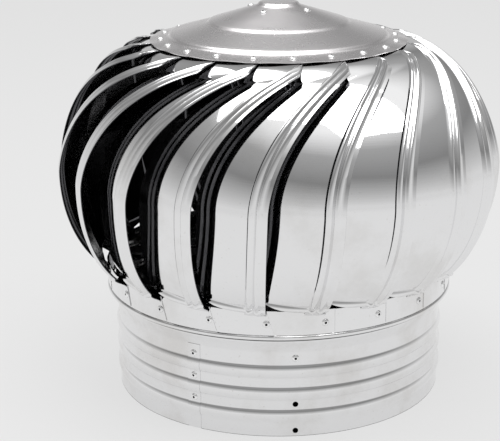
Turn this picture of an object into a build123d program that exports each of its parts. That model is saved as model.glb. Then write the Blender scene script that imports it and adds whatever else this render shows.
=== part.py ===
from build123d import *
import math
import os

os.makedirs("parts", exist_ok=True)

# Wind driven roof turbine ventilator: a fixed neck that clamps on a round duct, and a
# head of swept vanes that turns on two ball bearings about a fixed spindle.
# Millimetres and degrees. The origin is the centre of the neck's bottom rim, +Z is up.
# An azimuth is an angle about Z, from the front (-Y) towards +X.

# ---- driving dimensions: sheet and fasteners ----
sheet_t = 0.6                # stainless sheet of the neck, the ring, the cap and the vanes
seat_gap = 0.05              # play between two sheets that lie on each other
rivet_r = 1.6                # shank of the blind rivets
rivet_head_r = 3.2
rivet_head_top_r = 1.8
rivet_head_h = 1.3
rivet_tail_h = 1.2           # upset end on the blind side
rivet_hole_play = 0.1        # radial play of a rivet in its hole
hole_reach = 10.0            # length of the cutters for holes through sheet

# ---- driving dimensions: neck ----
neck_r = 150.0               # outside radius, for a nominal 300 mm duct
neck_plain_h = 12.5          # plain stretch at the bottom rim
bead_count = 3               # stiffening beads rolled outwards
bead_h = 12.0
bead_rise = 2.0
bead_pitch = 20.5
neck_wall_h = 78.0           # height at which the collar starts to flare
collar_rise = 6.0            # how far the collar stands out beyond the wall
collar_h = 10.5
collar_land_h = 1.5          # upright land at the collar's crest
upstand_set_in = 4.0         # the weather upstand, inwards from the collar's crest
upstand_h = 16.0             # its height above the collar's crest
seam_azimuth = -29.0         # lap seam of the rolled wall
seam_w = 12.0
seam_rivet_count = 3
screw_azimuth = 5.5          # first column of fixing holes, three columns in all
column_count = 3
screw_hole_r = 2.5
screw_z_low = 5.0
screw_z_high = 29.5

# ---- driving dimensions: head ----
vane_count = 20
lower_stations = 3           # sections along a vane below its widest place
upper_stations = 5           # and above it, closer together towards the cap
station_power = 0.85
slope_step = 0.5             # turn over which the free edge's slope is taken
last_turn = 1.0              # turn left between the last section of the panel and the cap's edge
head_azimuth = -3.7          # azimuth of the first vane's foot
ring_gap_r = 1.4             # ring's inner face to the collar's crest
ring_gap_z = 1.5             # ring's lower edge above the collar's land
ring_h = 26.0
ring_bead_h = 4.5
ring_bead_rise = 1.8
ring_rivet_drop = 1.0        # rivets below the middle of the tabs
head_bulge = 43.0            # widest place of the vanes' free edges, outwards from the ring
head_mid_h = 91.0            # height of that widest place above the ring's top edge
foot_out = 11.7              # lower end of a panel's free edge, outwards from the ring
foot_rise = 4.8              # and above the ring's top edge
upper_rise = 109.5           # rise of the free edge from the widest place to the cap
crown_in = 9.5               # its curve runs flat this far inside the cap's edge
upper_power_r = 0.885        # its powers: under 1 is fuller, over 1 is leaner
upper_power_z = 1.32
foot_turn = -56.0            # parameter angle at which the full panel starts
cut_turn = 73.0              # parameter angle at which the free edge is cut off
edge_lean_angle = 1.2              # azimuth gained by the free edge up to the widest place
edge_sweep_angle = 27.7            # azimuth gained from there to the cut
sweep_power = 2.4
cut_lean_angle = 2.7               # azimuth gained along the cut, up to the cap's edge

# ---- driving dimensions: section of one vane ----
vane_step = 20.0             # tucked edge behind the neighbour's free edge, at the widest place
foot_step_power = 1.8        # the step falls off as a power of the turn's cosine, to the foot
tab_step = 1.8               # the same under the cap
vane_lap = 4.0               # how far it is tucked under
free_strip_w = 3.6           # flat strip along the free edge
rib_w = 7.0
rib_h = 2.4
foot_w = 18.6                # width of the foot between panel and tab
foot_rib_share = 0.5         # of the ribs' height, where they run out on the foot
ledge_share = 0.7            # how far out the foot bends, half way up to the panel
tab_overlap = 5.0            # height over which the foot lies against the tab
groove_share = 0.05          # floor of the groove between the ribs, of the ribs' height
tab_reach_angle = 14.9             # azimuth that the riveted tab covers on one side of its rivet
tab_over_angle = 2.4               # azimuth that it covers on the other
tab_lift = 1.0               # tab's lower edge above the ring's bead

# ---- driving dimensions: cap ----
cap_r = 115.0
cap_rim_w = 16.0             # rim that is riveted to the vanes
cap_rim_drop = 3.4           # fall of the rim over that width
cap_crease_h = 2.1           # step where the cone meets the rim
cap_cone_h = 25.0            # rise of the cone above the step
cap_step_r = 62.0            # radius of the shallow step pressed in the cone
cap_step_h = 1.2
cap_step_w = 2.0
cap_boss_r = 17.0            # raised boss over the spindle's end
cap_boss_h = 3.0
cap_boss_w = 2.5             # width of the boss's sloping side
cap_rivet_in = 9.0           # circle of cap rivets, inwards from the edge
cap_rivet_angle = 3.3         # azimuth from a vane's cut edge back to its rivet
tab_in = 15.5                # inner end of the vanes' tabs, inwards from the cap's edge

# ---- driving dimensions: spindle, bearings and what carries them ----
spindle_r = 6.0
spindle_end_z = 48.0
spindle_collar_r = 8.2
spindle_collar_h = 4.0
spindle_tip_h = 2.5          # spindle above the upper bearing
spindle_chamfer = 1.0
bearing_r = 14.0             # 12 x 28 x 8 sealed ball bearings
bearing_h = 8.0
race_t = 2.4                 # wall of the inner and the outer ring
seal_t = 0.8
seal_play = 0.4              # seal's lip to the inner ring
circlip_t = 1.2
circlip_w = 2.6
circlip_mouth_angle = 50.0         # angle of the circlip's opening
carrier_wall = 2.5
carrier_drop = 16.0          # bearing's shoulder below the cone's underside
carrier_flange_r = 38.0
carrier_flange_t = 1.5
carrier_rivet_r = 28.6
carrier_rivet_count = 4
carrier_azimuth = -28.2
carrier_shoulder_r = 9.0
bracket_z = 66.0             # underside of the neck bracket
bracket_t = 2.0
bracket_arm_w = 20.0
bracket_hub_r = 24.0
bracket_foot_h = 12.0
nut_af = 19.0
nut_h = 8.0
washer_r = 12.0
washer_t = 1.5
spider_arm_count = 4
spider_arm_w = 18.0
spider_t = 1.5
spider_hub_r = 26.0
spider_foot_h = 16.0
spider_drop = 1.0            # spider's face below the ring's top edge
spacer_wall = 2.2

# ---- heights and radii that follow ----
vane_pitch = 360.0 / vane_count
collar_crest_r = neck_r + collar_rise
collar_crest_z = neck_wall_h + collar_h
upstand_r = collar_crest_r - upstand_set_in
upstand_top_z = collar_crest_z + upstand_h
ring_bottom_z = collar_crest_z + collar_land_h + ring_gap_z
ring_top_z = ring_bottom_z + ring_h
ring_r = collar_crest_r + ring_gap_r + sheet_t
tab_r = ring_r + seat_gap                       # inner face of the riveted tabs
tab_bottom_z = ring_bottom_z + ring_bead_h + tab_lift
ring_rivet_z = (tab_bottom_z + ring_top_z) / 2 - ring_rivet_drop
head_r = ring_r + head_bulge
head_mid_z = ring_top_z + head_mid_h
lower_reach = (head_bulge - foot_out) / (1 - math.cos(math.radians(foot_turn)))
lower_drop = (foot_rise - head_mid_h) / math.sin(math.radians(foot_turn))
upper_reach = head_r - cap_r + crown_in
cap_rivet_r = cap_r - cap_rivet_in
tab_inner_r = cap_r - tab_in
rib_zone_w = free_strip_w + 2 * rib_w
cap_under_z = head_mid_z + upper_rise           # cap's underside at its edge
rim_slope = cap_rim_drop / cap_rim_w
crease_r = cap_r - cap_rim_w
cap_edge_z = cap_under_z + sheet_t
crease_z = cap_edge_z + cap_rim_drop
cone_base_z = crease_z + cap_crease_h
cone_top_r = cap_boss_r + cap_boss_w
cone_top_z = cone_base_z + cap_cone_h
cone_slope = cap_cone_h / (crease_r - cone_top_r)
cap_top_z = cone_top_z + cap_boss_h
cap_rivet_azimuth = edge_lean_angle + edge_sweep_angle + cut_lean_angle - cap_rivet_angle
carrier_r = bearing_r + carrier_wall
upper_bearing_top_z = cone_top_z - cone_slope * carrier_r - carrier_drop
upper_bearing_z = upper_bearing_top_z - bearing_h
spider_z = ring_top_z - spider_t - spider_drop
lower_bearing_z = spider_z - bearing_h - circlip_t
inner_race_r = spindle_r + race_t
outer_race_r = bearing_r - race_t
bracket_rivet_z = bracket_z + bracket_foot_h / 2


def around(azimuth):
    """Turn about the Z axis, from the front to an azimuth."""
    return Rot(0, 0, azimuth)


def at(radius, azimuth, z):
    """Point at a radius, an azimuth from the front and a height."""
    a = math.radians(azimuth)
    return Vector(radius * math.sin(a), -radius * math.cos(a), z)


def strip(line, thickness=sheet_t):
    """Face of even thickness on the inner side of an outline drawn in XZ."""
    both = [line.wires()[0].offset_2d(thickness, kind=Kind.INTERSECTION, side=side, closed=True)
            for side in (Side.LEFT, Side.RIGHT)]
    return make_face(min(both, key=lambda wall: wall.bounding_box().max.X))


def turned_ring(r_in, r_out, z_low, height):
    """Plain ring about Z."""
    body = Cylinder(r_out, height, align=(Align.CENTER, Align.CENTER, Align.MIN))
    bore = Cylinder(r_in, height, align=(Align.CENTER, Align.CENTER, Align.MIN))
    return Pos(0, 0, z_low) * (body - bore)


def ring_sector(r_in, r_out, z_low, height, azimuth_from, azimuth_to):
    """Piece of a plain ring between two azimuths."""
    with BuildSketch(Plane.XZ) as section:
        with Locations(((r_in + r_out) / 2, z_low + height / 2)):
            Rectangle(r_out - r_in, height)
    return around(azimuth_from - 90) * revolve(section.sketch, Axis.Z, azimuth_to - azimuth_from)


def wall_hole(radius, azimuth, z):
    """Round cutter through the neck's wall and anything riveted to it, at a height."""
    cutter = Rot(90, 0, 0) * Cylinder(radius, hole_reach)
    return around(azimuth) * Pos(0, -neck_r, z) * cutter


def rivet_head():
    """Low coned head of a blind rivet, standing on Z = 0."""
    return Cone(rivet_head_r, rivet_head_top_r, rivet_head_h,
                align=(Align.CENTER, Align.CENTER, Align.MIN))


def rivet(grip):
    """Blind rivet along +Z: its head sits on Z = 0 and its tail lies below the grip."""
    shank = Pos(0, 0, -grip) * Cylinder(rivet_r, grip, align=(Align.CENTER, Align.CENTER, Align.MIN))
    tail = Pos(0, 0, -grip - rivet_tail_h) * Cylinder(
        rivet_r + 2 * rivet_hole_play, rivet_tail_h, align=(Align.CENTER, Align.CENTER, Align.MIN))
    return rivet_head() + shank + tail


def radial_rivet(face_r, azimuth, z, grip):
    """Rivet whose head sits on an upright wall's outer face."""
    return around(azimuth) * Pos(0, -face_r, z) * Rot(90, 0, 0) * rivet(grip)


# ---- the vane: a function of one turn parameter, from foot to cap ----
def edge_point(turn):
    """Radius, height and azimuth of the free edge at a parameter angle."""
    a = math.radians(turn)
    if turn < 0:
        radius = head_r - lower_reach * (1 - math.cos(a))
        z = head_mid_z + lower_drop * math.sin(a)
        return radius, z, edge_lean_angle * (1 - turn / foot_turn)
    radius = head_r - upper_reach * (1 - math.cos(a) ** upper_power_r)
    z = head_mid_z + upper_rise * math.sin(a) ** upper_power_z
    sweep = edge_lean_angle + edge_sweep_angle * (min(turn, cut_turn) / cut_turn) ** sweep_power
    past_cut = max(0.0, turn - cut_turn) / (edge_turn - cut_turn)
    return radius, z, sweep + cut_lean_angle * past_cut


def edge_turn_at(radius):
    """Parameter angle at which the free edge has come in to a radius."""
    left = 1 - (head_r - radius) / upper_reach
    return math.degrees(math.acos(left ** (1 / upper_power_r)))


edge_turn = edge_turn_at(cap_r)


def vane_section(radius, z, azimuth, slope, width, step, rib):
    """Closed outline of the vane across its run: tucked edge, panel, two ribs, free strip.

    The point given is on the free edge; width and step lead from it to the tucked edge, and
    slope is the angle of the surface's outward normal above the horizontal."""
    turn_back = math.degrees(width / radius)
    free = at(radius, azimuth, z)
    tucked = at(radius - step * math.cos(slope), azimuth - turn_back, z - step * math.sin(slope))
    chord = free - tucked
    middle = at(math.cos(slope), azimuth - turn_back / 2, math.sin(slope))
    plane = Plane(origin=free, x_dir=chord, z_dir=chord.cross(middle))
    span = chord.length
    bulge = span ** 2 * math.cos(slope) / (8 * radius)
    panel_w = max(span - rib_zone_w, sheet_t)
    scale = (span - panel_w) / rib_zone_w
    creases = [free_strip_w + 1.5 * rib_w, free_strip_w + rib_w, free_strip_w + 0.5 * rib_w,
               free_strip_w, 0.0]
    xs = [-span, panel_w / 2 - span, panel_w - span] + [-scale * x for x in creases]
    lift = [0, 0, 0, rib, groove_share * rib, rib, 0, 0]
    crown = [4 * bulge * (-x / span) * (1 + x / span) for x in xs]
    outer = [(x, c + h) for x, c, h in zip(xs, crown, lift)]
    inner = [(x, y - sheet_t) for x, y in outer]
    return plane * Polyline(*outer, *reversed(inner), close=True)


def vane_sections():
    """Sections from the tab on the ring up to the inner end of the tab under the cap."""
    turns = [foot_turn * (1 - i / lower_stations) for i in range(lower_stations)]
    turns += [cut_turn * (i / upper_stations) ** station_power for i in range(upper_stations + 1)]
    turns += [(cut_turn + edge_turn) / 2, edge_turn - last_turn]
    sections = []
    foot_r, foot_z, foot_a = edge_point(foot_turn)
    low_z = ring_top_z - tab_overlap
    for share in (0.0, 0.5):
        r = tab_r + sheet_t + share * ledge_share * (foot_r - tab_r)
        z = low_z + share * (foot_z - low_z)
        rib = 2 * share * foot_rib_share * rib_h
        sections.append(vane_section(r, z, foot_a * share, 0.0, foot_w, 0.0, rib))
    for turn in turns:
        radius, z, azimuth = edge_point(turn)
        near_r, near_z, _ = edge_point(turn + slope_step)
        slope = math.atan2(radius - near_r, near_z - z)
        width = math.radians(vane_pitch) * radius + vane_lap
        fall = math.cos(math.radians(turn)) ** (foot_step_power if turn < 0 else 1)
        step = tab_step + (vane_step - tab_step) * fall
        rib = rib_h if turn <= cut_turn else rib_h * (edge_turn - turn) / (edge_turn - cut_turn)
        sections.append(vane_section(radius, z, azimuth, slope, width, step, rib))
    radius, z, azimuth = edge_point(edge_turn)
    rim_angle = math.radians(90) - math.atan(rim_slope)
    for r in (cap_r, tab_inner_r):
        z_rim = cap_under_z - seat_gap + (cap_r - r) * rim_slope
        width = math.radians(vane_pitch) * r + vane_lap
        sections.append(vane_section(r, z_rim, azimuth, rim_angle, width, tab_step, 0.0))
    return sections


def vane_tab():
    """Tab that wraps the ring: upright tucked end, slanting end below the free edge."""
    tab = ring_sector(tab_r, tab_r + sheet_t, tab_bottom_z, ring_top_z - tab_bottom_z,
                      -tab_reach_angle, tab_over_angle)
    cut = Plane(origin=at(tab_r, tab_over_angle, tab_bottom_z),
                x_dir=at(1, 90 + tab_over_angle, 0),
                z_dir=at(1, tab_over_angle, 0))
    run = math.radians(tab_over_angle) * tab_r
    rise = ring_top_z - tab_bottom_z
    corner = make_face(Polyline((0, 0), (-run, rise), (rise, rise), (rise, 0), close=True))
    return tab - cut * extrude(corner, hole_reach, both=True)


def make_vane():
    """One vane with both of its tabs, its foot at azimuth 0."""
    wires = [section.wires()[0] for section in vane_sections()]
    return vane_tab() + Solid.make_loft(wires, ruled=True)


# ---- rotating head ----
def make_ring():
    """Lower ring of the head, with a rolled bead along its lower edge."""
    bead_top = ring_bottom_z + ring_bead_h
    with BuildLine(Plane.XZ) as outline:
        ThreePointArc((ring_r, ring_bottom_z),
                      (ring_r + ring_bead_rise, (ring_bottom_z + bead_top) / 2),
                      (ring_r, bead_top))
        Line((ring_r, bead_top), (ring_r, ring_top_z))
    return revolve(strip(outline.line), Axis.Z, 360)


def make_ring_rivets():
    """Heads of the rivets that hold each vane's foot to the ring, one per vane."""
    return Compound([around(i * vane_pitch) * Pos(0, -tab_r - sheet_t, ring_rivet_z)
                     * Rot(90, 0, 0) * rivet_head() for i in range(vane_count)])


def rim_z(radius):
    """Height of the rim's upper face."""
    return cap_edge_z + (cap_r - radius) * rim_slope


def cone_z(radius):
    """Height of the cone's upper face inside the pressed step."""
    return cone_base_z + (crease_r - radius) * cone_slope


def make_cap():
    """Round cap: riveted rim, shallow cone with one pressed step, and a centre boss."""
    step_out = cap_step_r + cap_step_w
    outline = Polyline((cap_r, cap_edge_z), (crease_r, crease_z),
                       (crease_r - cap_crease_h, cone_base_z + cap_crease_h * cone_slope),
                       (step_out, cone_z(step_out) - cap_step_h), (cap_step_r, cone_z(cap_step_r)),
                       (cone_top_r, cone_top_z), (cap_boss_r, cap_top_z), (0, cap_top_z))
    under = Polyline((0, cap_top_z), (0, cap_top_z - sheet_t), (cap_boss_r, cap_top_z - sheet_t),
                     (cone_top_r, cone_top_z - sheet_t),
                     (cap_step_r, cone_z(cap_step_r) - sheet_t),
                     (step_out, cone_z(step_out) - cap_step_h - sheet_t),
                     (crease_r - cap_crease_h, cone_base_z + cap_crease_h * cone_slope - sheet_t),
                     (crease_r, crease_z - sheet_t), (cap_r, cap_under_z), (cap_r, cap_edge_z))
    face = Plane.XZ * make_face([*outline.edges(), *under.edges()])
    cap = revolve(face, Axis.Z, 360)
    hole = Cylinder(rivet_r + rivet_hole_play, hole_reach)
    for azimuth in carrier_rivet_azimuths():
        cap -= cone_seated(hole, carrier_rivet_r, azimuth, cone_z(carrier_rivet_r), cone_slope)
    return cap


def carrier_rivet_azimuths():
    """Azimuths of the carrier's rivets, from the head's own front."""
    return [carrier_azimuth - head_azimuth + i * 360 / carrier_rivet_count
            for i in range(carrier_rivet_count)]


def cone_seated(body, radius, azimuth, z, slope):
    """Stand a body square on a conical face."""
    return around(azimuth) * Pos(0, -radius, z) * Rot(math.degrees(math.atan(slope)), 0, 0) * body


def make_cap_rivets():
    """Heads of the rivets that hold each vane's tab under the cap's rim, one per vane."""
    return Compound([cone_seated(rivet_head(), cap_rivet_r, cap_rivet_azimuth + i * vane_pitch,
                                 rim_z(cap_rivet_r), rim_slope) for i in range(vane_count)])


def make_carrier_rivets():
    """Rivets that hold the bearing carrier to the cap's cone."""
    grip = sheet_t + seat_gap + carrier_flange_t + seat_gap
    return Compound([cone_seated(rivet(grip), carrier_rivet_r, azimuth,
                                 cone_z(carrier_rivet_r), cone_slope)
                     for azimuth in carrier_rivet_azimuths()])


def make_carrier():
    """Bearing carrier: a coned flange under the cap and a cup open downwards."""
    flange_top = cone_z(carrier_flange_r) - sheet_t - seat_gap
    cup_top = cone_z(carrier_r) - sheet_t - seat_gap
    cup_bottom = upper_bearing_z - 2 * circlip_t
    points = [(carrier_shoulder_r, cup_top), (carrier_r, cup_top), (carrier_flange_r, flange_top),
              (carrier_flange_r, flange_top - carrier_flange_t),
              (carrier_r, cup_top - carrier_flange_t), (carrier_r, cup_bottom),
              (bearing_r, cup_bottom), (bearing_r, upper_bearing_top_z),
              (carrier_shoulder_r, upper_bearing_top_z)]
    carrier = revolve(Plane.XZ * make_face(Polyline(*points, close=True)), Axis.Z, 360)
    hole = Cylinder(rivet_r + rivet_hole_play, hole_reach)
    for azimuth in carrier_rivet_azimuths():
        carrier -= cone_seated(hole, carrier_rivet_r, azimuth, cone_z(carrier_rivet_r), cone_slope)
    return carrier


def make_spider():
    """Lower spider of the head: a hub cup on four arms whose feet are riveted in the ring."""
    foot_r = ring_r - sheet_t - seat_gap
    hub = turned_ring(bearing_r, spider_hub_r, spider_z, spider_t)
    cup = turned_ring(bearing_r, bearing_r + carrier_wall, lower_bearing_z - circlip_t,
                      spider_z + spider_t - lower_bearing_z + circlip_t)
    lip = turned_ring(carrier_shoulder_r, bearing_r + carrier_wall, spider_z + spider_t, spider_t)
    spider = hub + cup + lip
    half = math.degrees(math.asin(spider_arm_w / 2 / foot_r))
    for i in range(spider_arm_count):
        arm = Pos(0, -(foot_r + spider_hub_r - spider_t) / 2, spider_z + spider_t / 2) * Box(
            spider_arm_w, foot_r - spider_hub_r, spider_t)
        foot = ring_sector(foot_r - spider_t, foot_r, spider_z + spider_t - spider_foot_h,
                           spider_foot_h, -half, half)
        spider += around(i * 360 / spider_arm_count) * (arm + foot)
    return spider


# ---- bearings, the same at both ends ----
def make_outer_race(z_low):
    return turned_ring(outer_race_r, bearing_r - seat_gap, z_low, bearing_h)


def make_inner_race(z_low):
    return turned_ring(spindle_r + seat_gap, inner_race_r, z_low, bearing_h)


def make_seals(z_low):
    """Pair of lip seals that close the bearing above and below."""
    lip_r = inner_race_r + seal_play
    low = turned_ring(lip_r, outer_race_r - seat_gap, z_low, seal_t)
    return Compound([low, Pos(0, 0, bearing_h - seal_t) * low])


def make_circlip(r_in, r_out, z_low):
    """Open retaining ring."""
    turn = (360 - circlip_mouth_angle) / 2
    return ring_sector(r_in, r_out, z_low, circlip_t, 180 - turn, 180 + turn)


# ---- fixed base ----
def neck_outline():
    """Outer face of the neck's wall, from the bottom rim up to the weather upstand."""
    with BuildLine(Plane.XZ) as outline:
        z = 0.0
        for i in range(bead_count):
            start = neck_plain_h + i * bead_pitch
            Line((neck_r, z), (neck_r, start))
            z = start + bead_h
            ThreePointArc((neck_r, start), (neck_r + bead_rise, start + bead_h / 2), (neck_r, z))
        Line((neck_r, z), (neck_r, neck_wall_h))
    return outline.line


def make_neck():
    """Beaded wall with a flared collar, a weather upstand, a lap seam and fixing holes."""
    wall_line = neck_outline()
    crest_z = collar_crest_z + collar_land_h
    with BuildLine(Plane.XZ) as outline:
        add(wall_line)
        Polyline((neck_r, neck_wall_h), (collar_crest_r, collar_crest_z), (collar_crest_r, crest_z),
                 (upstand_r, crest_z + upstand_set_in), (upstand_r, upstand_top_z))
    neck = revolve(strip(outline.line), Axis.Z, 360)
    half = math.degrees(seam_w / 2 / neck_r)
    lap = wall_line.wires()[0].offset_2d(sheet_t, kind=Kind.INTERSECTION, side=Side.RIGHT, closed=True)
    lap = revolve(make_face(lap), Axis.Z, 2 * half)
    neck += around(seam_azimuth - half - 90) * lap
    for i in range(column_count):
        azimuth = screw_azimuth + i * 360 / column_count
        neck -= wall_hole(screw_hole_r, azimuth, screw_z_low)
        neck -= wall_hole(screw_hole_r, azimuth, screw_z_high)
        neck -= wall_hole(rivet_r + rivet_hole_play, azimuth, bracket_rivet_z)
    for z in seam_rivet_heights():
        neck -= wall_hole(rivet_r + rivet_hole_play, seam_azimuth, z)
    return neck


def seam_rivet_heights():
    """Middle of each flat band above a bead."""
    gap = bead_pitch - bead_h
    return [neck_plain_h + bead_h + gap / 2 + i * bead_pitch for i in range(seam_rivet_count)]


def make_seam_rivets():
    """Rivets down the lap seam."""
    grip = 2 * sheet_t + seat_gap
    return Compound([radial_rivet(neck_r + sheet_t, seam_azimuth, z, grip)
                     for z in seam_rivet_heights()])


def make_bracket():
    """Neck bracket: three arms from a hub, with feet bent up against the wall."""
    foot_r = neck_r - sheet_t - seat_gap
    hub = Pos(0, 0, bracket_z) * Cylinder(bracket_hub_r, bracket_t,
                                          align=(Align.CENTER, Align.CENTER, Align.MIN))
    bracket = hub
    half = math.degrees(math.asin(bracket_arm_w / 2 / foot_r))
    for i in range(column_count):
        arm = Pos(0, -foot_r / 2, bracket_z + bracket_t / 2) * Box(
            bracket_arm_w, foot_r - bracket_t, bracket_t)
        foot = ring_sector(foot_r - bracket_t, foot_r, bracket_z, bracket_foot_h, -half, half)
        foot -= wall_hole(rivet_r + rivet_hole_play, 0, bracket_rivet_z)
        bracket += around(screw_azimuth + i * 360 / column_count) * (arm + foot)
    return bracket - Pos(0, 0, bracket_z) * Cylinder(spindle_r + seat_gap, 4 * bracket_t)


def make_bracket_rivets():
    """Rivets that hold the bracket's feet to the neck's wall."""
    grip = sheet_t + 2 * seat_gap + bracket_t
    return Compound([radial_rivet(neck_r, screw_azimuth + i * 360 / column_count,
                                  bracket_rivet_z, grip) for i in range(column_count)])


def make_spindle():
    """Fixed spindle with a collar that carries the upper bearing."""
    top = upper_bearing_top_z + spindle_tip_h
    rod = Pos(0, 0, spindle_end_z) * Cylinder(
        spindle_r, top - spindle_end_z, align=(Align.CENTER, Align.CENTER, Align.MIN))
    rod = chamfer(rod.edges().filter_by(GeomType.CIRCLE), spindle_chamfer)
    collar = Cylinder(spindle_collar_r, spindle_collar_h, align=(Align.CENTER, Align.CENTER, Align.MIN))
    return rod + Pos(0, 0, upper_bearing_z - spindle_collar_h) * collar


def make_nuts():
    """Hexagon nuts above and below the bracket."""
    side = nut_af / math.sqrt(3)
    nut = extrude(RegularPolygon(side, 6), nut_h) - Cylinder(spindle_r + seat_gap, 4 * nut_h)
    low = bracket_z - washer_t - nut_h
    high = bracket_z + bracket_t + washer_t
    return Compound([Pos(0, 0, low) * nut, Pos(0, 0, high) * nut])


def make_washers():
    """Washers between the nuts and the bracket."""
    low = turned_ring(spindle_r + seat_gap, washer_r, bracket_z - washer_t, washer_t)
    return Compound([low, Pos(0, 0, washer_t + bracket_t) * low])


def make_spacer():
    """Spacer tube from the upper nut to the lower bearing's inner ring."""
    low = bracket_z + bracket_t + washer_t + nut_h
    return turned_ring(spindle_r + seat_gap, spindle_r + spacer_wall, low, lower_bearing_z - low)


def make_parts():
    """Every piece by its name, in place."""
    head = around(head_azimuth)
    vane = make_vane()
    parts = {f"vane_{i + 1:02d}": around(head_azimuth + i * vane_pitch) * vane
             for i in range(vane_count)}
    parts.update(
        lower_ring=head * make_ring(),
        ring_rivets=head * make_ring_rivets(),
        top_cap=head * make_cap(),
        cap_rivets=head * make_cap_rivets(),
        bearing_carrier=head * make_carrier(),
        carrier_rivets=head * make_carrier_rivets(),
        head_spider=head * make_spider(),
        upper_bearing_outer_ring=make_outer_race(upper_bearing_z),
        upper_bearing_seals=make_seals(upper_bearing_z),
        lower_bearing_outer_ring=make_outer_race(lower_bearing_z),
        lower_bearing_seals=make_seals(lower_bearing_z),
        carrier_circlip=make_circlip(bearing_r - circlip_w, bearing_r, upper_bearing_z - circlip_t),
        spider_circlip=make_circlip(bearing_r - circlip_w, bearing_r, lower_bearing_z - circlip_t),
        neck=make_neck(),
        seam_rivets=make_seam_rivets(),
        neck_bracket=make_bracket(),
        bracket_rivets=make_bracket_rivets(),
        spindle=make_spindle(),
        spindle_nuts=make_nuts(),
        spindle_washers=make_washers(),
        spacer_tube=make_spacer(),
        upper_bearing_inner_ring=make_inner_race(upper_bearing_z),
        lower_bearing_inner_ring=make_inner_race(lower_bearing_z),
    )
    return parts


for name, piece in make_parts().items():
    export_step(piece, f"parts/{name}.step")
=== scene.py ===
"""Roof turbine ventilator: the visual model and its studio.

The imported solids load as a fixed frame. The polished sheets, the cap and the rivets are drawn again
as fine surfaces that stand for their solids; what is inside the head keeps its solids and gets finishes.
All lengths are metres; an azimuth is measured about Z from the front (-Y) towards +X."""
import math

import bpy
import numpy as np
from mathutils import Euler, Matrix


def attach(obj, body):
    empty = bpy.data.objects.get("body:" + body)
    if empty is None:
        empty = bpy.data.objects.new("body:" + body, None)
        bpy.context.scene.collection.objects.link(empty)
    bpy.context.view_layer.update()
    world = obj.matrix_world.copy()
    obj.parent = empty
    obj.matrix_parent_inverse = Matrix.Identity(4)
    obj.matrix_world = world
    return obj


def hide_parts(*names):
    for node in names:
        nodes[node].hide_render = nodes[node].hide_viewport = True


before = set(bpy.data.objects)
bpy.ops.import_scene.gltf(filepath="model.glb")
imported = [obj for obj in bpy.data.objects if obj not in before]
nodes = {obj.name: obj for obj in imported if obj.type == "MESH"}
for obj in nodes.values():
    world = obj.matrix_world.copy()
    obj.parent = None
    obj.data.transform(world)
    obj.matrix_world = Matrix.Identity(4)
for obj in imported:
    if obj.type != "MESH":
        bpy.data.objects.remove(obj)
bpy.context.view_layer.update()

MM = 0.001

# ---- sizes of the sheet and its rivets ----
sheet_t = 0.6 * MM
rivet_head_r = 3.2 * MM
rivet_head_h = 1.3 * MM
rivet_shank_r = 1.6 * MM
rivet_tail_r = 1.8 * MM
rivet_tail_h = 1.2 * MM
mandrel_r = 0.85 * MM        # broken mandrel in the middle of a blind rivet's head
mandrel_dip = 0.75 * MM

# ---- sizes of the neck ----
neck_r = 150.0 * MM
neck_plain_h = 12.5 * MM
bead_count = 3
bead_h = 12.0 * MM
bead_rise = 2.0 * MM
bead_pitch = 20.5 * MM
neck_wall_h = 78.0 * MM
collar_r = 156.0 * MM
collar_z = 88.5 * MM
collar_land = 1.5 * MM
collar_round = 0.7 * MM
upstand_r = 152.0 * MM
upstand_land = 4.0 * MM
upstand_z = 104.5 * MM
seam_azimuth = -29.0
seam_w = 12.0 * MM
column_azimuths = [5.5, 125.5, 245.5]
screw_hole_r = 2.5 * MM
screw_zs = [5.0 * MM, 29.5 * MM]
bracket_rivet_z = 72.0 * MM
bracket_grip = 2.7 * MM

# ---- sizes of the head ----
vane_count = 20
vane_pitch = 360.0 / vane_count
head_azimuth = -3.7
ring_r = 158.0 * MM
ring_z = 91.5 * MM
ring_top = 117.5 * MM
ring_bead_h = 4.5 * MM
ring_bead_rise = 1.8 * MM
tab_face_r = 158.65 * MM     # outer face of the tabs on the ring
tab_bottom = 97.0 * MM
tab_reach = 14.9             # degrees of ring covered on one side of the rivet
tab_over = 2.4               # and on the other
ring_rivet_z = 106.25 * MM

# ---- the vane's free edge: two quarter curves that meet at the widest place ----
head_r = 201.0 * MM
mid_z = 208.5 * MM
lower_drop, lower_reach = 104.0 * MM, 71.0 * MM
upper_rise, upper_reach = 109.5 * MM, 95.5 * MM
power_r, power_z = 0.885, 1.32
foot_turn, cut_turn = -56.0, 73.0
edge_lean, edge_sweep, sweep_power, cut_lean = 1.2, 27.7, 2.4, 2.7

# ---- section of one vane ----
vane_step = 20.0 * MM
foot_step_power = 1.8
tab_step = 1.8 * MM          # how far the tucked edge lies inside the free edge at the foot
cap_step = 1.3 * MM          # the same at the tab under the cap
vane_lap = 4.0 * MM
strip_w = 3.6 * MM
rib_w = 7.0 * MM
rib_h = 2.4 * MM
rib_crest = 0.5              # share of a rib's width between its foot on the edge side and its crest
rise_power, fall_power = 1.35, 1.8
foot_w = 18.6 * MM
foot_z = 112.5 * MM

# ---- sizes of the cap ----
cap_r = 115.0 * MM
cap_under_z = 318.0 * MM
rim_w = 16.0 * MM
rim_drop = 3.4 * MM
crease_h = 2.1 * MM
cone_rise = 25.0 * MM
step_r = 62.0 * MM
step_h = 1.2 * MM
step_w = 2.0 * MM
boss_r = 17.0 * MM
boss_w = 2.5 * MM
boss_h = 3.0 * MM
cap_round = 1.6 * MM
cap_rivet_r = 106.0 * MM
cap_rivet_azimuth = 28.3
rim_wave = 0.5 * MM          # how far the cap's edge lifts between two rivets
tab_inner_r = 99.5 * MM
carrier_rivet_r = 28.6 * MM
carrier_azimuth = -28.2
carrier_grip = 2.2 * MM

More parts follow.
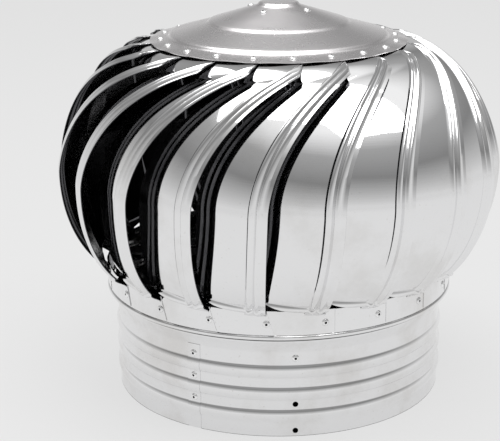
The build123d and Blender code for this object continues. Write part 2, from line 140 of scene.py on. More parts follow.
rim_slope = rim_drop / rim_w
crease_r = cap_r - rim_w
cone_base_z = cap_under_z + sheet_t + rim_drop + crease_h
cone_top_r = boss_r + boss_w
cone_slope = cone_rise / (crease_r - cone_top_r)
cone_top_z = cone_base_z + cone_rise


# ======================= numpy surfaces =======================
def polar(radius, azimuth, z):
    """Points at a radius, an azimuth in degrees and a height: (r sin a, -r cos a, z)."""
    a = np.radians(azimuth)
    radius, a, z = np.broadcast_arrays(radius, a, z)
    return np.stack([radius * np.sin(a), -radius * np.cos(a), z], axis=-1)


def unit(vectors):
    """Each vector divided by its length."""
    return vectors / np.linalg.norm(vectors, axis=-1, keepdims=True)


def smoothstep(x):
    """Cubic ramp 3x^2 - 2x^3 from 0 to 1, held flat outside."""
    x = np.clip(x, 0.0, 1.0)
    return x * x * (3 - 2 * x)


def grid_faces(rows, columns, start=0, wrap=False):
    """Quads of a grid whose rows are stored one after another; wrap joins the last column to the first."""
    i = np.arange(rows - 1)[:, None] * columns
    j = np.arange(columns if wrap else columns - 1)[None, :]
    k = (j + 1) % columns
    return start + np.stack([i + j, i + k, i + columns + k, i + columns + j], axis=-1).reshape(-1, 4)


def welded(points, faces):
    """Points that share a place made one, faces numbered again and those with no area dropped."""
    keys = np.round(points * 1e7).astype(np.int64)
    _, first, inverse = np.unique(keys, axis=0, return_index=True, return_inverse=True)
    faces = inverse.reshape(-1)[faces]
    tidy = []
    for face in faces.tolist():
        ring = [v for n, v in enumerate(face) if v != face[n - 1]]
        if len(ring) > 2 and len(set(ring)) == len(ring):
            tidy.append(ring)
    return points[first], tidy


def make_piece(name, points, faces, materials, face_material=None, sharp=38.0):
    """Mesh object at the origin, smooth but for edges sharper than an angle."""
    mesh = bpy.data.meshes.new(name)
    mesh.from_pydata(points.tolist(), [], faces)
    for material in materials:
        mesh.materials.append(material)
    if face_material is not None:
        mesh.polygons.foreach_set("material_index", face_material)
    mesh.polygons.foreach_set("use_smooth", [True] * len(mesh.polygons))
    mesh.validate()
    mesh.set_sharp_from_angle(angle=math.radians(sharp))
    piece = bpy.data.objects.new(name, mesh)
    bpy.context.scene.collection.objects.link(piece)
    return piece


def sheet_shell(outer, inner):
    """Closed sheet between two grids of the same size: both faces and the strip round their border."""
    rows, columns = outer.shape[:2]
    count = rows * columns
    points = np.concatenate([outer.reshape(-1, 3), inner.reshape(-1, 3)])
    front = grid_faces(rows, columns)
    back = grid_faces(rows, columns, count)[:, ::-1]
    index = np.arange(count).reshape(rows, columns)
    border = np.concatenate([index[0, :-1], index[:-1, -1], index[-1, :0:-1], index[:0:-1, 0]])
    after = np.roll(border, -1)
    sides = np.stack([after, border, border + count, after + count], axis=-1)
    return points, np.concatenate([front, back, sides])


def turned(profile, azimuths=None, count=240):
    """Closed outline in (radius, z), given anticlockwise, turned once round Z."""
    azimuths = np.arange(count) * 360.0 / count if azimuths is None else azimuths
    profile = np.asarray(profile)
    points = polar(profile[:, 0][:, None], azimuths[None, :], profile[:, 1][:, None])
    rows, columns = points.shape[:2]
    closed = np.concatenate([points, points[:1]])
    return closed.reshape(-1, 3), grid_faces(rows + 1, columns, wrap=True)[:, ::-1]


def joined(parts):
    """Several (points, faces) pairs as one."""
    points, faces, start = [], [], 0
    for p, f in parts:
        points.append(p)
        faces.append(np.asarray(f) + start)
        start += len(p)
    return np.concatenate(points), np.concatenate(faces)


def turn_about_z(points, azimuth):
    """Points turned about Z by an angle in degrees, from the front towards +X."""
    a = math.radians(azimuth)
    c, s = math.cos(a), math.sin(a)
    return points @ np.array([[c, s, 0], [-s, c, 0], [0, 0, 1]])


def thick_line(line, thickness):
    """Closed outline of a sheet whose outer face is a line in (radius, z): each point is offset to the
    right of the way the line runs, by the thickness along the mean of its two neighbours' normals."""
    line = np.asarray(line)
    step = np.gradient(line, axis=0)
    normal = unit(np.stack([-step[:, 1], step[:, 0]], axis=-1))
    return np.concatenate([line, (line + normal * thickness)[::-1]])


def arch(r, z_low, z_high, rise, steps=14):
    """Outward bead between two heights on a wall: a circle's arc through both ends and the crest."""
    half = (z_high - z_low) / 2
    radius = (half ** 2 + rise ** 2) / (2 * rise)
    top = math.asin(half / radius)
    a = np.linspace(-top, top, steps)
    return np.stack([r + radius * np.cos(a) - radius + rise, z_low + half + radius * np.sin(a)], axis=-1)


# ======================= rivets =======================
def rivet_profile(grip):
    """Blind rivet along +Z: low dome with a rolled rim, a dip with the broken mandrel in it and,
    where a grip is given, its shank and upset tail below."""
    turn = np.linspace(0, 1, 9)
    dome_r = rivet_head_r - (rivet_head_r - 1.35 * mandrel_r) * turn
    dome_z = rivet_head_h * np.sin(turn * math.pi / 2) ** 0.75
    head = np.stack([dome_r, dome_z + 0.12 * MM], axis=-1)
    dip_z = rivet_head_h - mandrel_dip
    dip = [(mandrel_r * 1.15, rivet_head_h - 0.1 * MM), (mandrel_r, dip_z),
           (mandrel_r * 0.9, dip_z + 0.25 * MM), (0.0, dip_z + 0.3 * MM)]
    if grip:
        low = [(0.0, -grip - rivet_tail_h), (rivet_tail_r * 0.8, -grip - rivet_tail_h),
               (rivet_tail_r, -grip - 0.5 * rivet_tail_h), (rivet_tail_r * 0.95, -grip),
               (rivet_shank_r, -grip), (rivet_shank_r, 0.0), (rivet_head_r, 0.0)]
    else:
        low = [(0.0, 0.0), (rivet_head_r, 0.0)]
    return np.concatenate([low, head, dip])


def rivets(name, places, grip, node, body):
    """Group of rivets, each standing on a point along an outward normal."""
    one, ones = welded(*turned(rivet_profile(grip), count=24))
    middle = np.array([one[face].mean(axis=0) for face in ones])
    # faces in the dip round the mandrel take a near-black finish: painted shade in the recess
    dip_painted_shade = (np.hypot(middle[:, 0], middle[:, 1]) < mandrel_r * 1.12) & (middle[:, 2] > 0.1 * MM)
    points, faces, shade = [], [], []
    for place, normal in places:
        z = np.asarray(normal) / np.linalg.norm(normal)
        x = unit(np.cross([0.0, 0.1, 1.0], z))
        faces += [[v + len(points) * len(one) for v in face] for face in ones]
        points.append(one @ np.stack([x, np.cross(z, x), z]) + place)
        shade += dip_painted_shade.astype(int).tolist()
    piece = make_piece(name, np.concatenate(points), faces, [materials["rivet"], materials["rivet_dip_painted_shade"]],
                       shade, sharp=50)
    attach(piece, body)
    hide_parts(node)
    return piece


def wall_places(radius, azimuths, z):
    """Places and normals on an upright wall."""
    return [(polar(radius, a, z), polar(1.0, a, 0.0)) for a in azimuths]


def cone_places(radius, azimuths, z, slope):
    """Places and normals on a cone that rises inwards by a slope."""
    return [(polar(radius, a, z), polar(slope, a, 1.0)) for a in azimuths]


# ======================= the vane =======================
def free_edge(turn):
    """Radius, height and azimuth of the free edge: below the widest place a quarter ellipse, above it
    r falls as 1 - cos^p and z rises as sin^q, while the azimuth grows as a power of the turn."""
    a = np.radians(turn)
    low = turn < 0
    c, s = np.cos(a), np.sin(np.abs(a))
    r = np.where(low, head_r - lower_reach * (1 - c), head_r - upper_reach * (1 - c ** power_r))
    z = np.where(low, mid_z - lower_drop * s, mid_z + upper_rise * s ** power_z)
    past = np.maximum(turn - cut_turn, 0) / (edge_turn - cut_turn)
    swept = edge_lean + edge_sweep * (np.clip(turn, 0, cut_turn) / cut_turn) ** sweep_power
    azimuth = np.where(low, edge_lean * (1 - turn / foot_turn), swept + cut_lean * past)
    return r, z, azimuth


edge_turn = math.degrees(math.acos((1 - (head_r - cap_r) / upper_reach) ** (1 / power_r)))


def rib_lift(x):
    """Height of the two pressed ribs at a distance behind the free edge: each rises from the edge side
    to its crest as 1 - u^p and falls to the panel side as 1 - u^q with a larger power, so a little
    more steeply."""
    lift = np.zeros_like(x)
    for start in (strip_w, strip_w + rib_w):
        share = (-x - start) / rib_w
        inside = (share > 0) & (share < 1)
        gentle = 1 - np.clip((rib_crest - share) / rib_crest, 0, 1) ** rise_power
        steep = 1 - np.clip((share - rib_crest) / (1 - rib_crest), 0, 1) ** fall_power
        lift = np.where(inside, np.where(share < rib_crest, gentle, steep), lift)
    return lift


def vane_columns():
    """Distances behind the free edge at which the section changes, as shares of each stretch."""
    panel = np.linspace(0, 1, 25)[:-1]
    ribs = np.array([0, 0.05, 0.12, 0.2, 0.27, 0.34, 0.45, 0.6, 0.8, 1.0])
    return panel, ribs


def vane_rows(r, z, azimuth, slope, width, step, rib, chop):
    """Grid of the vane's outer face, one row per station.

    Each row lies in the plane through the free edge and the tucked edge. Behind the free edge come the
    flat strip, two ribs and the panel, which bulges by span^2 cos(slope) / 8r. Where the sheet is cut
    off, chop says how far the cut has moved in over the strip and the ribs."""
    back = np.degrees(width / r)
    free = polar(r, azimuth, z)
    tucked = polar(r - step * np.cos(slope), azimuth - back, z - step * np.sin(slope))
    span = np.linalg.norm(free - tucked, axis=-1)[:, None]
    along = unit(free - tucked)
    middle = polar(np.cos(slope), azimuth - back / 2, np.sin(slope))
    up = unit(middle - np.sum(middle * along, axis=-1, keepdims=True) * along)
    panel, ribs = vane_columns()
    root = strip_w + 2 * rib_w
    room = np.minimum(root, 0.94 * span)
    chop = chop[:, None]
    scale = room / root
    x_panel = -span + (span - room + chop) * panel[None, :]
    x_ribs = chop - room + scale * rib_w * np.concatenate([ribs[:-1], 1 + ribs])[None, :]
    x_strip = chop - scale * strip_w * np.array([0.66, 0.33, 0.0])[None, :]
    x = np.concatenate([x_panel, x_ribs, x_strip], axis=1)
    lift = rib_lift((x - chop) / scale) * rib[:, None]
    x = np.minimum(x, 0.0)
    bulge = span ** 2 * np.cos(slope)[:, None] / (8 * r[:, None])
    crown = 4 * bulge * (-x / span) * (1 + x / span)
    points = free[:, None] + along[:, None] * x[..., None] + up[:, None] * (crown + lift)[..., None]
    inner = points - up[:, None] * sheet_t
    return points, inner


def vane_stations():
    """Stations of the vane from its foot on the ring to its tab under the cap."""
    low = np.linspace(foot_turn, 0, 34)[:-1]
    high = cut_turn * np.linspace(0, 1, 44) ** 0.85
    flat = np.linspace(cut_turn, edge_turn, 14)[1:]
    turn = np.concatenate([low, high, flat])
    r, z, azimuth = free_edge(turn)
    near_r, near_z, _ = free_edge(turn + 0.4)
    slope = np.arctan2(r - near_r, near_z - z)
    cosine = np.cos(np.radians(turn))
    width = math.radians(vane_pitch) * r + vane_lap
    step = tab_step + (vane_step - tab_step) * cosine ** np.where(turn < 0, foot_step_power, 1.0)
    past = np.clip((turn - cut_turn) / (edge_turn - cut_turn), 0, 1)
    step = step + (cap_step - step) * smoothstep(past)
    rib = rib_h * (1 - past) ** 0.7
    rib[-1] = 0.0
    chop = (strip_w + 2 * rib_w) * past

    foot_r, foot_top, foot_a = r[0], z[0], azimuth[0]
    share = np.linspace(0, 1, 13)[:-1]
    f_r = tab_face_r + (foot_r - tab_face_r) * smoothstep(share * 1.15)
    f_z = foot_z + (foot_top - foot_z) * share
    f_width = foot_w + (width[0] - foot_w) * np.clip((share - 0.45) / 0.55, 0, 1) ** 0.6
    f_step = step[0] * share ** 2
    f_rib = rib_h * smoothstep(share * 1.3) * 0.95
    f_slope = slope[0] * share
    r = np.concatenate([f_r, r])
    z = np.concatenate([f_z, z])
    azimuth = np.concatenate([foot_a * share, azimuth])
    slope = np.concatenate([f_slope, slope])
    width = np.concatenate([f_width, width])
    step = np.concatenate([f_step, step])
    rib = np.concatenate([f_rib, rib])
    chop = np.concatenate([np.zeros_like(f_r), chop])

    tab_r = np.linspace(cap_r, tab_inner_r, 5)[1:]
    rim_angle = math.radians(90) - math.atan(rim_slope)
    many = np.ones_like(tab_r)
    r = np.concatenate([r, tab_r])
    z = np.concatenate([z, cap_under_z - 0.05 * MM + (cap_r - tab_r) * rim_slope])
    azimuth = np.concatenate([azimuth, azimuth[-1] * many])
    slope = np.concatenate([slope, rim_angle * many])
    width = np.concatenate([width, math.radians(vane_pitch) * tab_r + vane_lap])
    step = np.concatenate([step, cap_step * many])
    rib = np.concatenate([rib, 0 * many])
    chop = np.concatenate([chop, (strip_w + 2 * rib_w) * many])
    return r, z, azimuth, slope, width, step, rib, chop


def ring_tab():
    """Tab on the ring: a cylinder's patch, upright on one side, slanting on the other, that stands off
    the ring a little between its rivet and its tucked end and is drawn in round the rivet."""
    share = np.linspace(0, 1, 12)[:, None]
    across = np.linspace(0, 1, 42)[None, :]
    right = tab_over * (1 - share)
    azimuth = -tab_reach + (tab_reach + right) * across
    z = tab_bottom + (ring_top - tab_bottom) * share + 0 * across
    slack = 0.9 * MM * np.sin(np.clip(-azimuth / tab_reach, 0, 1) * math.pi) ** 2 * smoothstep(share * 1.2)
    outer = polar(tab_face_r + slack, azimuth, z)
    inner = polar(tab_face_r - sheet_t + slack, azimuth, z)
    return sheet_shell(outer, inner)


def make_vanes():
    """The vanes, each one sheet with its ribs and both tabs, turned into place."""
    outer, inner = vane_rows(*vane_stations())
    blade = sheet_shell(outer, inner)
    front_faces = (outer.shape[0] - 1) * (outer.shape[1] - 1)
    tab = ring_tab()
    blade_points, blade_faces = welded(*blade)
    tab_points, tab_faces = welded(*tab)
    points = np.concatenate([blade_points, tab_points])
    faces = blade_faces + [[v + len(blade_points) for v in face] for face in tab_faces]
    # the inner face of each vane takes a near-black finish: painted shade standing in for the dark inside of
    # the head
    painted_shade_faces = [int(front_faces <= k < 2 * front_faces) for k in range(len(faces))]
    for i in range(vane_count):
        azimuth = head_azimuth + i * vane_pitch
        piece = make_piece(f"vane_sheet_{i + 1:02d}", turn_about_z(points, azimuth), faces,
                           [materials["polished_vane"], materials["vane_inside_painted_shade"]], painted_shade_faces)
        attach(piece, "head")
        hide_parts(f"vane_{i + 1:02d}")


# ======================= ring, cap, neck =======================
def ring_line():
    """Ring's outer face upwards: a half-round bead, a crease and the plain wall."""
    bead = arch(ring_r, ring_z, ring_z + ring_bead_h, ring_bead_rise)
    wall = [(ring_r, z) for z in np.linspace(ring_z + ring_bead_h, ring_top, 12)[1:]]
    return np.concatenate([bead, wall])


def make_ring():
    """Lower ring of the head."""
    points, faces = turned(thick_line(ring_line(), sheet_t)[::-1], count=360)
    piece = make_piece("head_ring", points, faces.tolist(), [materials["polished_ring"]])
    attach(piece, "head")
    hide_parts("lower_ring")


def cap_line():
    """Cap's upper face inwards: rim, crease, cone with one pressed step, boss. Corners are short arcs."""
    def cone(r):
        return cone_base_z + (crease_r - r) * cone_slope
    corners = [(cap_r, cap_under_z + sheet_t), (crease_r, cap_under_z + sheet_t + rim_drop),
               (crease_r - crease_h, cone(crease_r - crease_h)),
               (step_r + step_w, cone(step_r + step_w) - step_h), (step_r, cone(step_r)),
               (cone_top_r, cone_top_z), (boss_r, cone_top_z + boss_h), (0.0, cone_top_z + boss_h)]
    return rounded(corners, cap_round)


def rounded(corners, reach, steps=5):
    """Line through corners, each corner a quadratic curve that starts and ends a reach away from it."""
    corners = np.asarray(corners)
    line = [corners[0]]
    for before, corner, after in zip(corners[:-2], corners[1:-1], corners[2:]):
        cut_in = min(reach, np.linalg.norm(corner - before) / 2.2)
        cut_out = min(reach, np.linalg.norm(after - corner) / 2.2)
        start = corner + (before - corner) * cut_in / np.linalg.norm(before - corner)
        end = corner + (after - corner) * cut_out / np.linalg.norm(after - corner)
        for t in np.linspace(0, 1, steps):
            line.append((1 - t) ** 2 * start + 2 * t * (1 - t) * corner + t * t * end)
    line.append(corners[-1])
    return np.asarray(line)


def make_cap():
    """Cap: its outline turned round Z, with the rim drawn down at each rivet."""
    line = cap_line()
    long = [line[0]]
    for before, after in zip(line[:-1], line[1:]):
        pieces = max(1, int(np.linalg.norm(after - before) / (4 * MM)))
        long += [before + (after - before) * k / pieces for k in range(1, pieces + 1)]
    line = np.asarray(long)[::-1]
    outline = np.concatenate([line, line[::-1] - [0.0, sheet_t]])
    points, faces = turned(outline, count=480)
    radius = np.hypot(points[:, 0], points[:, 1])
    azimuth = np.degrees(np.arctan2(points[:, 0], -points[:, 1]))
    phase = np.radians((azimuth - head_azimuth - cap_rivet_azimuth) * vane_count)
    share = smoothstep((radius - crease_r) / rim_w)
    points[:, 2] += rim_wave * share * (0.5 - 0.5 * np.cos(phase))
    points, faces = welded(points, faces)
    piece = make_piece("cap_sheet", points, faces, [materials["satin_cap"]], sharp=50)
    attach(piece, "head")
    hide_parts("top_cap")


def neck_rows():
    """Outer face of the neck upwards, in (radius, z), as smooth stretches between creases."""
    fine = 2.5 / 3 * MM
    line = []
    z = 0.0
    for i in range(bead_count):
        start = neck_plain_h + i * bead_pitch
        line += [(neck_r, h) for h in np.arange(z, start - fine / 2, fine)]
        z = start + bead_h
        line += [tuple(p) for p in arch(neck_r, start, z, bead_rise)[:-1]]
    line += [(neck_r, h) for h in np.linspace(z, neck_wall_h, 16)]
    land_z = collar_z + collar_land
    collar = rounded([(neck_r, neck_wall_h), (collar_r, collar_z), (collar_r, land_z),
                      (upstand_r, land_z + upstand_land), (upstand_r, upstand_z)], collar_round)
    line += [tuple(p) for p in collar[1:]]
    return np.asarray(line)


def make_neck():
    """Neck: its outline turned round Z, pierced by the fixing holes, with the lap seam on it."""
    line = neck_rows()
    fine = math.degrees(2.5 / 3 * MM / neck_r)
    azimuths = list(np.arange(0, 360, 1.0))
    for centre in column_azimuths:
        azimuths = [a for a in azimuths if abs(a - centre) > 6 * fine]
        azimuths += [centre + k * fine for k in range(-6, 7)]
    azimuths = np.sort(np.asarray(azimuths))
    outline = thick_line(line, sheet_t)[::-1]
    points, faces = turned(outline, azimuths)
    points, faces = pierced(points, faces)
    lap_line = line[line[:, 1] < neck_wall_h + 0.01 * MM] + [sheet_t + 0.02 * MM, 0.0]
    half = math.degrees(seam_w / 2 / neck_r)
    spread = seam_azimuth + np.linspace(-half, half, 9)
    outer = polar(lap_line[:, 0][:, None], spread[None, :], lap_line[:, 1][:, None])
    inner = polar(lap_line[:, 0][:, None] - sheet_t, spread[None, :], lap_line[:, 1][:, None])
    lap = sheet_shell(outer, inner)
    points, faces = joined([(points, faces), lap])
    piece = make_piece("neck_sheet", points, faces.tolist(), [materials["polished_neck"]])
    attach(piece, "base")
    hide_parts("neck")


def pierced(points, faces):
    """Round holes through the wall: in a window round each hole the square rings of the grid are moved on to
    circles and the faces inside the first circle are dropped."""
    cell = 2.5 / 3 * MM
    radius = np.hypot(points[:, 0], points[:, 1])
    azimuth = np.degrees(np.arctan2(points[:, 0], -points[:, 1])) % 360
    drop = np.zeros(len(faces), bool)
    for centre in column_azimuths:
        for hole_z in screw_zs:
            across = (azimuth - centre) * math.pi / 180 * neck_r
            up = points[:, 2] - hole_z
            ring = np.maximum(np.abs(across), np.abs(up))
            flat = np.hypot(across, up)
            near = (ring < 3.6 * MM) & (ring > 0.1 * cell)
            inside = ring[faces].max(axis=1) < screw_hole_r + 0.2 * cell
            drop |= inside
            share = np.clip((ring - screw_hole_r) / cell, 0, 1)
            round_scale = ring / np.maximum(flat, 1e-9)
            scale = np.where(near, (1 - share) * round_scale + share, 1.0)
            moved = near & (ring > screw_hole_r - 0.3 * cell)
            new_a = centre + across * scale / neck_r * 180 / math.pi
            new_z = hole_z + up * scale
            place = polar(radius, new_a, new_z)
            points = np.where(moved[:, None], place, points)
    return points, faces[~drop]


def make_rivets():
    """All groups of rivets."""
    feet = [head_azimuth + i * vane_pitch for i in range(vane_count)]
    rivets("ring_rivet_heads", wall_places(tab_face_r, feet, ring_rivet_z), 0.0, "ring_rivets", "head")
    rim_z = cap_under_z + sheet_t + (cap_r - cap_rivet_r) * rim_slope
    rivets("cap_rivet_heads", cone_places(cap_rivet_r, [a + cap_rivet_azimuth for a in feet], rim_z,
                                          rim_slope), 0.0, "cap_rivets", "head")
    cone_z = cone_base_z + (crease_r - carrier_rivet_r) * cone_slope
    rivets("carrier_rivet_set", cone_places(carrier_rivet_r, [carrier_azimuth + 90 * i for i in range(4)],
                                            cone_z, cone_slope), carrier_grip, "carrier_rivets", "head")
    rivets("bracket_rivet_set", wall_places(neck_r, column_azimuths, bracket_rivet_z), bracket_grip,
           "bracket_rivets", "base")
    gap = bead_pitch - bead_h
    places = []
    for i in range(bead_count):
        z = neck_plain_h + bead_h + gap / 2 + i * bead_pitch
        places += wall_places(neck_r + sheet_t, [seam_azimuth], z)
    rivets("seam_rivet_set", places, 1.25 * MM, "seam_rivets", "base")


# ======================= finishes =======================
def new_material(name):
    """Empty node material with its Principled shader."""
    material = bpy.data.materials.new(name)
    material.use_nodes = True
    return material, material.node_tree.nodes["Principled BSDF"]


def add(tree, kind, settings=None, **inputs):
    """Node with its properties set and its inputs given as values or as sockets of other nodes."""
    node = tree.nodes.new(kind)
    for key, value in (settings or {}).items():
        setattr(node, key, value)
    for key, value in inputs.items():
        slot = node.inputs[int(key[1:])] if key[0] == "i" and key[1:].isdigit() else node.inputs[key]
        if isinstance(value, bpy.types.NodeSocket):
            tree.links.new(value, slot)
        else:
            slot.default_value = value
    return node


def group(name, ins, outs):
    """Shader node group with float or colour or vector sockets, and its two end nodes."""
    tree = bpy.data.node_groups.new(name, "ShaderNodeTree")
    kinds = {"f": "NodeSocketFloat", "c": "NodeSocketColor", "v": "NodeSocketVector"}
    for label, kind, value in ins:
        socket = tree.interface.new_socket(name=label, in_out="INPUT", socket_type=kinds[kind])
        socket.default_value = value
    for label, kind in outs:
        tree.interface.new_socket(name=label, in_out="OUTPUT", socket_type=kinds[kind])
    return tree, tree.nodes.new("NodeGroupInput"), tree.nodes.new("NodeGroupOutput")


def handling_film():
    """Group: faint smears, specks and rolling lines that handling and rolling leave on bright sheet."""
    tree, enter, leave = group(
        "handling_film",
        [("Place", "v", (0, 0, 0)), ("Low roughness", "f", 0.05), ("High roughness", "f", 0.16),
         ("Clean", "c", (0.8, 0.8, 0.8, 1)), ("Dull", "c", (0.7, 0.69, 0.68, 1)), ("Ripple", "f", 0.2)],
        [("Color", "c"), ("Roughness", "f"), ("Height", "f")])
    place = enter.outputs["Place"]
    smear = add(tree, "ShaderNodeTexNoise", Vector=place, Scale=14.0, Detail=5.0, Roughness=0.62)
    speck = add(tree, "ShaderNodeTexNoise", Vector=place, Scale=420.0, Detail=2.0, Roughness=0.5)
    stretch = add(tree, "ShaderNodeMapping", i0=place, Scale=(40.0, 40.0, 900.0))
    lines = add(tree, "ShaderNodeTexNoise", Vector=stretch.outputs[0], Scale=1.0, Detail=3.0)
    swell = add(tree, "ShaderNodeTexNoise", Vector=place, Scale=22.0, Detail=1.5, Roughness=0.4)
    mask = add(tree, "ShaderNodeMapRange", {"interpolation_type": "SMOOTHSTEP"},
               Value=smear.outputs[0], i1=0.46, i2=0.72)
    spots = add(tree, "ShaderNodeMapRange", {"interpolation_type": "SMOOTHSTEP"},
                Value=speck.outputs[0], i1=0.66, i2=0.78)
    worst = add(tree, "ShaderNodeMath", {"operation": "MAXIMUM"}, i0=mask.outputs[0], i1=spots.outputs[0])
    rough = add(tree, "ShaderNodeMapRange", Value=worst.outputs[0], i3=enter.outputs["Low roughness"],
                i4=enter.outputs["High roughness"])
    color = add(tree, "ShaderNodeMix", {"data_type": "RGBA"}, i0=worst.outputs[0],
                i6=enter.outputs["Clean"], i7=enter.outputs["Dull"])
    fine = add(tree, "ShaderNodeMath", {"operation": "MULTIPLY"}, i0=lines.outputs[0], i1=0.02)
    height = add(tree, "ShaderNodeMath", {"operation": "MULTIPLY_ADD"}, i0=swell.outputs[0],
                 i1=enter.outputs["Ripple"], i2=fine.outputs[0])
    tree.links.new(color.outputs[2], leave.inputs["Color"])
    tree.links.new(rough.outputs[0], leave.inputs["Roughness"])
    tree.links.new(height.outputs[0], leave.inputs["Height"])
    return tree


def sheet_finish(name, film, clean, dull, low, high, ripple, depth):
    """Bright sheet: the film's colour and roughness, and its height as a shallow bump."""
    material, shader = new_material(name)
    tree = material.node_tree
    place = add(tree, "ShaderNodeTexCoord").outputs["Object"]
    worn = tree.nodes.new("ShaderNodeGroup")
    worn.node_tree = film
    tree.links.new(place, worn.inputs["Place"])
    worn.inputs["Low roughness"].default_value = low
    worn.inputs["High roughness"].default_value = high
    worn.inputs["Clean"].default_value = (*clean, 1)
    worn.inputs["Dull"].default_value = (*dull, 1)
    worn.inputs["Ripple"].default_value = ripple
    bump = add(tree, "ShaderNodeBump", Height=worn.outputs["Height"], Strength=1.0, Distance=depth)
    shader.inputs["Metallic"].default_value = 1.0
    tree.links.new(worn.outputs["Color"], shader.inputs["Base Color"])
    tree.links.new(worn.outputs["Roughness"], shader.inputs["Roughness"])
    tree.links.new(bump.outputs[0], shader.inputs["Normal"])
    return material


def rubber_finish(name):
    """Black seal rubber with a fine mottled sheen."""
    material, shader = new_material(name)
    tree = material.node_tree
    place = add(tree, "ShaderNodeTexCoord").outputs["Object"]
    mottle = add(tree, "ShaderNodeTexNoise", Vector=place, Scale=600.0, Detail=3.0)
    rough = add(tree, "ShaderNodeMapRange", Value=mottle.outputs[0], i3=0.45, i4=0.7)
    tone = add(tree, "ShaderNodeMix", {"data_type": "RGBA"}, i0=mottle.outputs[0],
               i6=(0.012, 0.012, 0.013, 1), i7=(0.04, 0.04, 0.042, 1))
    tree.links.new(tone.outputs[2], shader.inputs["Base Color"])
    tree.links.new(rough.outputs[0], shader.inputs["Roughness"])
    return material


film = handling_film()
materials = {
    "polished_vane": sheet_finish("polished_vane", film, (0.86, 0.86, 0.865), (0.78, 0.775, 0.77),
                                  0.035, 0.10, 0.10, 0.6 * MM),
    # painted shade: near-black finish on the vanes' inner faces, where the inside of the head lies in shade
    "vane_inside_painted_shade": sheet_finish("vane_inside_painted_shade", film, (0.10, 0.10, 0.105), (0.06, 0.06, 0.065),
                                0.20, 0.36, 0.10, 0.6 * MM),
    "polished_ring": sheet_finish("polished_ring", film, (0.86, 0.86, 0.865), (0.76, 0.75, 0.74),
                                  0.04, 0.12, 0.08, 0.6 * MM),
    "polished_neck": sheet_finish("polished_neck", film, (0.84, 0.84, 0.845), (0.74, 0.73, 0.72),
                                  0.05, 0.14, 0.17, 0.6 * MM),
    "satin_cap": sheet_finish("satin_cap", film, (0.84, 0.82, 0.825), (0.76, 0.74, 0.745),
                              0.26, 0.34, 0.12, 0.6 * MM),
    "rivet": sheet_finish("bright_rivet", film, (0.95, 0.95, 0.95), (0.84, 0.84, 0.84),
                          0.32, 0.42, 0.02, 0.2 * MM),
    # painted shade: near-black finish for the dip in each rivet head
    "rivet_dip_painted_shade": sheet_finish("rivet_dip_painted_shade", film, (0.035, 0.035, 0.037), (0.02, 0.02, 0.02),
                              0.35, 0.5, 0.02, 0.2 * MM),
    "pressed_steel": sheet_finish("pressed_steel", film, (0.52, 0.52, 0.53), (0.40, 0.39, 0.38),
                                  0.28, 0.45, 0.1, 0.5 * MM),
    "turned_steel": sheet_finish("turned_steel", film, (0.60, 0.60, 0.61), (0.48, 0.47, 0.45),
                                 0.18, 0.32, 0.02, 0.2 * MM),
    "plated_hardware": sheet_finish("plated_hardware", film, (0.66, 0.65, 0.60), (0.52, 0.50, 0.44),
                                    0.22, 0.38, 0.03, 0.2 * MM),
    "bearing_steel": sheet_finish("bearing_steel", film, (0.70, 0.70, 0.72), (0.58, 0.58, 0.60),
                                  0.08, 0.18, 0.01, 0.1 * MM),
    "seal_rubber": rubber_finish("seal_rubber"),
}
node_finish = {
    "bearing_carrier": "pressed_steel", "head_spider": "pressed_steel", "neck_bracket": "pressed_steel",
    "spindle": "turned_steel", "spacer_tube": "turned_steel",
    "spindle_nuts": "plated_hardware", "spindle_washers": "plated_hardware",
    "carrier_circlip": "plated_hardware", "spider_circlip": "plated_hardware",
    "upper_bearing_outer_ring": "bearing_steel", "upper_bearing_inner_ring": "bearing_steel",
    "lower_bearing_outer_ring": "bearing_steel", "lower_bearing_inner_ring": "bearing_steel",
    "upper_bearing_seals": "seal_rubber", "lower_bearing_seals": "seal_rubber",
}


def dress_nodes():
    """Finish of each solid that stays in sight."""
    for name, finish in node_finish.items():
        slots = nodes[name].material_slots
        if not slots:
            nodes[name].data.materials.append(materials[finish])
        for slot in nodes[name].material_slots:
            slot.material = materials[finish]


# ======================= studio =======================
def grey(value):
    """Neutral colour with alpha."""
    return (value, value, value, 1)


soft_light = 0.55            # even light from all round
backdrop_shade = 0.8         # background and floor as the camera and the metal see them
# what metal mirrors of the studio: elevation in degrees, grey
studio_stops = [(-90, 0.8), (0, 0.75), (25, 0.25), (45, 0.4), (65, 1.0), (90, 1.0)]
floor_r = 2.6
floor_drop = 0.3 * MM        # floor under the neck's rim
floor_shade, floor_glow = 0.9, 0.8
# painted shade: near-black colour of the floor disc inside the neck, standing in for the shade of the duct
# opening
duct_shade_color = (0.02, 0.02, 0.022, 1)
focal, frame_shift = 105.14, -0.0573
camera_place, camera_tilt = (0.0, -1.2969, 0.5494), 17.2
lamp_aim = (0, 0, 0.2)


def make_world():
    """Pale round about for the camera. Metal mirrors one plain studio, the same on every side: a pale
    backdrop that rises from the floor, a grey room above it and a white ceiling. Everything else is
    lit by an even pale grey."""
    world = bpy.data.worlds.new("studio")
    bpy.context.scene.world = world
    world.use_nodes = True
    tree = world.node_tree
    tree.nodes.clear()
    way = add(tree, "ShaderNodeTexCoord").outputs["Generated"]
    axes = add(tree, "ShaderNodeSeparateXYZ", i0=way)
    lift = add(tree, "ShaderNodeMapRange", Value=axes.outputs[2], i1=-1.0, i2=1.0)
    studio = add(tree, "ShaderNodeValToRGB", i0=lift.outputs[0])
    ramp(studio, studio_stops)
    path = add(tree, "ShaderNodeLightPath")
    soft = add(tree, "ShaderNodeMix", {"data_type": "RGBA"}, i0=path.outputs["Is Camera Ray"],
               i6=grey(soft_light), i7=grey(backdrop_shade))
    seen = add(tree, "ShaderNodeMix", {"data_type": "RGBA"}, i0=path.outputs["Is Glossy Ray"],
               i6=soft.outputs[2], i7=studio.outputs[0])
    glow = add(tree, "ShaderNodeBackground", Color=seen.outputs[2], Strength=1.0)
    leave = tree.nodes.new("ShaderNodeOutputWorld")
    tree.links.new(glow.outputs[0], leave.inputs[0])


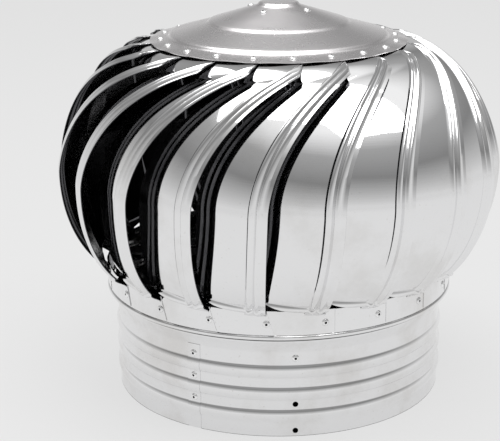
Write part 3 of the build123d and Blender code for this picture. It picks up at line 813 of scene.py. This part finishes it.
def ramp(node, stops):
    """Stops of a colour ramp, each an elevation in degrees and a grey."""
    elements = node.color_ramp.elements
    places = [((math.sin(math.radians(e)) + 1) / 2, grey(value)) for e, value in stops]
    elements[0].position, elements[0].color = places[0]
    elements[1].position, elements[1].color = places[-1]
    for position, color in places[1:-1]:
        elements.new(position).color = color


def make_floor():
    """Plain pale round floor, which the camera and the metal both see, with a near-black disc of painted
    shade inside the neck's radius, where the duct opens."""
    mesh = bpy.data.meshes.new("floor")
    angle = np.arange(96) * 2 * math.pi / 96
    rim = np.stack([floor_r * np.cos(angle), floor_r * np.sin(angle), 0 * angle - floor_drop], axis=-1)
    mesh.from_pydata(rim.tolist(), [], [list(range(96))])
    floor = bpy.data.objects.new("floor", mesh)
    bpy.context.scene.collection.objects.link(floor)
    material, shader = new_material("pale_floor")
    mesh.materials.append(material)
    tree = material.node_tree
    shader.inputs["Base Color"].default_value = grey(floor_shade)
    shader.inputs["Roughness"].default_value = 0.9
    place = add(tree, "ShaderNodeTexCoord").outputs["Object"]
    bright = add(tree, "ShaderNodeEmission", Color=grey(backdrop_shade))
    backdrop = add(tree, "ShaderNodeMixShader", i0=floor_glow, i1=shader.outputs[0], i2=bright.outputs[0])
    path = add(tree, "ShaderNodeLightPath")
    direct = add(tree, "ShaderNodeMath", {"operation": "MAXIMUM"}, i0=path.outputs["Is Camera Ray"],
                 i1=path.outputs["Is Glossy Ray"]).outputs[0]
    outside = add(tree, "ShaderNodeMixShader", i0=direct, i1=shader.outputs[0], i2=backdrop.outputs[0])
    reach = add(tree, "ShaderNodeVectorMath", {"operation": "LENGTH"}, i0=place).outputs["Value"]
    # floor inside the neck's radius takes the near-black diffuse: painted shade of the duct
    inside = add(tree, "ShaderNodeMath", {"operation": "LESS_THAN"}, i0=reach, i1=neck_r)
    painted_duct_shade = add(tree, "ShaderNodeBsdfDiffuse", Color=duct_shade_color)
    final = add(tree, "ShaderNodeMixShader", i0=inside.outputs[0], i1=outside.outputs[0], i2=painted_duct_shade.outputs[0])
    tree.links.new(final.outputs[0], tree.nodes["Material Output"].inputs[0])


def soft_lamp(name, place, aim, size, power):
    """Square soft lamp at a place, turned to a point."""
    lamp = bpy.data.lights.new(name, "AREA")
    lamp.size = size
    lamp.energy = power
    holder = bpy.data.objects.new(name, lamp)
    bpy.context.scene.collection.objects.link(holder)
    holder.location = place
    way = np.asarray(place) - np.asarray(aim)
    pitch = math.atan2(math.hypot(way[0], way[1]), way[2])
    holder.rotation_euler = Euler((pitch, 0, math.atan2(way[0], -way[1])), "XYZ")
    return holder


def make_camera():
    """Camera in front, looking down a little."""
    lens = bpy.data.cameras.new("camera")
    lens.sensor_width = 36.0
    lens.lens = focal
    lens.shift_x = frame_shift
    camera = bpy.data.objects.new("camera", lens)
    camera.location = camera_place
    camera.rotation_euler = (math.radians(90 - camera_tilt), 0, 0)
    bpy.context.scene.collection.objects.link(camera)
    bpy.context.scene.camera = camera


make_vanes()
make_ring()
make_cap()
make_neck()
make_rivets()
dress_nodes()
make_world()
make_floor()
soft_lamp("key_lamp", (0.4, -0.6, 2.1), lamp_aim, 1.2, 14)
soft_lamp("top_lamp", (-0.4, 0.3, 2.0), lamp_aim, 1.4, 12)
make_camera()
bpy.context.scene.view_settings.view_transform = "Standard"
